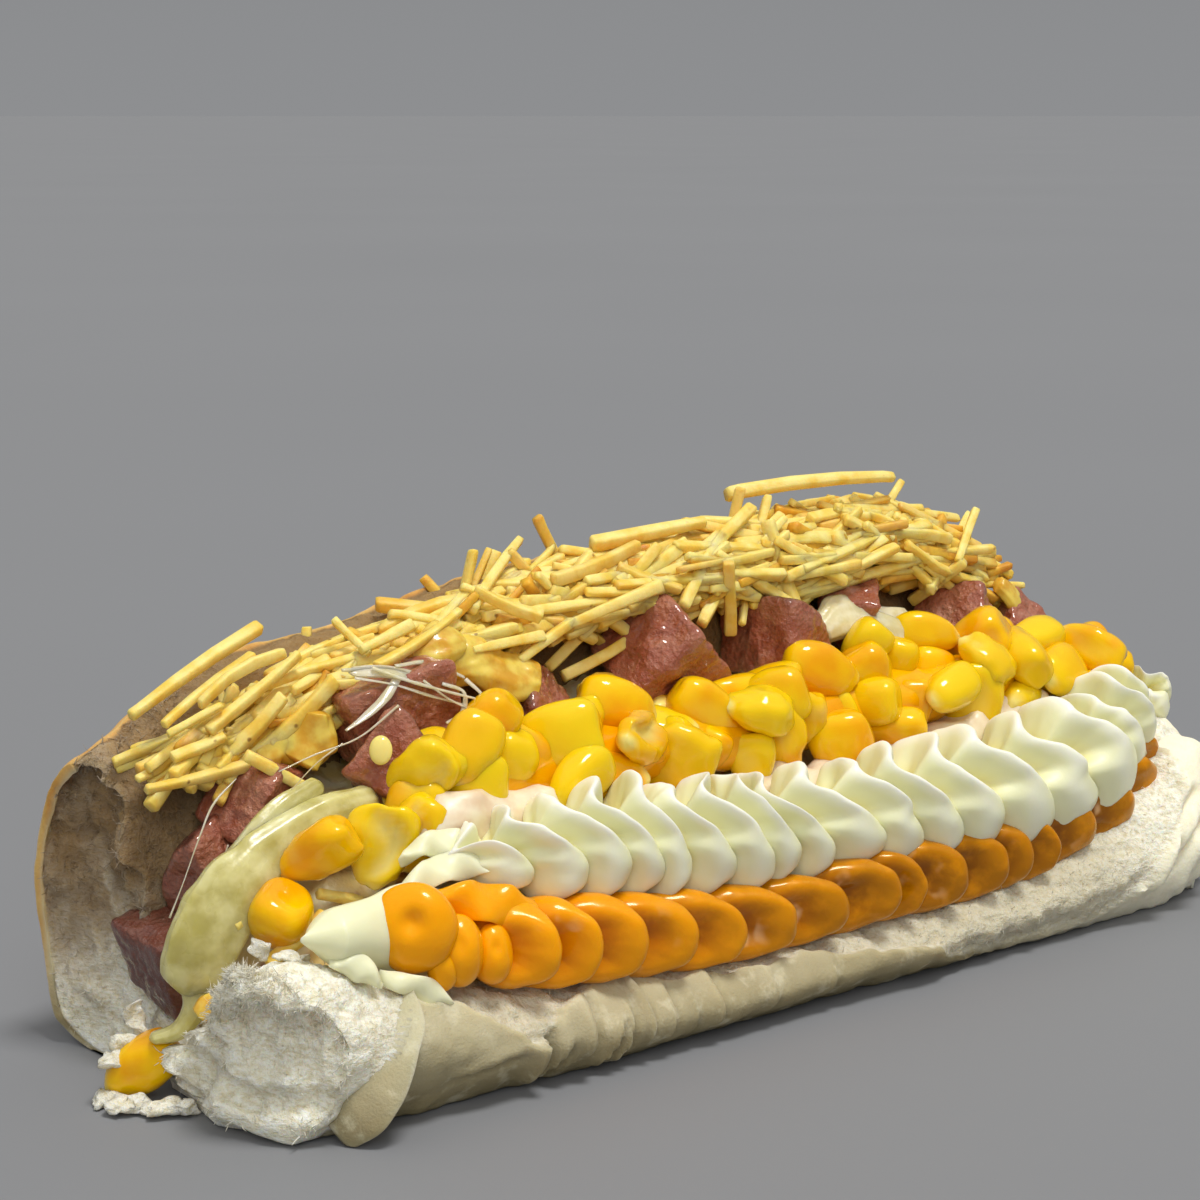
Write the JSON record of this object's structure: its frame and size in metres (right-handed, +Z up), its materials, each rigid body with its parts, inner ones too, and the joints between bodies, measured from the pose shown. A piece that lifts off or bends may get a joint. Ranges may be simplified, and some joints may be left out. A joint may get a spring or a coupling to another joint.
{
  "type": "loaded hot dog",
  "caption": "Soft bun opened along its length, filled with sausage chunks and melted cheese, topped with piped cream ropes, sweetcorn and a heap of shoestring potato sticks.",
  "frame": {"origin": "the middle of the whole hot dog's box, on the surface that it rests on", "axes": "+X along the bun, from its torn open end to its closed end; -Y towards the low front wall with the piped rows; +Z up"},
  "size_m": [0.1906, 0.0582, 0.0624],
  "materials": {
    "bread": "dry soft bread: pale creased crust in front, golden crust behind, fluffy torn crumb",
    "white_cream": "smooth white cream with a soft sheen",
    "cheddar_cream": "smooth orange cheese cream with a soft sheen",
    "corn": "wet, slightly see-through kernels",
    "potato": "dry fried potato, browner at some ends",
    "sausage": "moist, fine-grained cut meat with a darker skin",
    "cheese": "melted pale cheese, slightly see-through"
  },
  "bodies": {
    "root": {"cream_rope": "white_cream", "cheddar_rope": "cheddar_cream", "cream_tail": "white_cream", "cream_dollop": "white_cream", "sausage_chunk_1": "sausage", "sausage_chunk_2": "sausage", "sausage_chunk_3": "sausage", "sausage_chunk_4": "sausage", "sausage_chunk_5": "sausage", "sausage_chunk_6": "sausage", "sausage_chunk_7": "sausage", "sausage_chunk_8": "sausage", "sausage_chunk_9": "sausage", "sausage_chunk_10": "sausage", "sausage_chunk_11": "sausage", "cheese_strip": "cheese", "cheese_melt": "cheese", "corn_kernel_1": "corn", "corn_kernel_2": "corn", "corn_kernel_3": "corn", "corn_kernel_4": "corn", "corn_kernel_5": "corn", "potato_stick_1": "potato", "potato_stick_2": "potato", "bun": "bread", "corn_heap": "corn", "potato_stick_heap": "potato", "filling_bed": "cheese"}
  },
  "joints": []
}
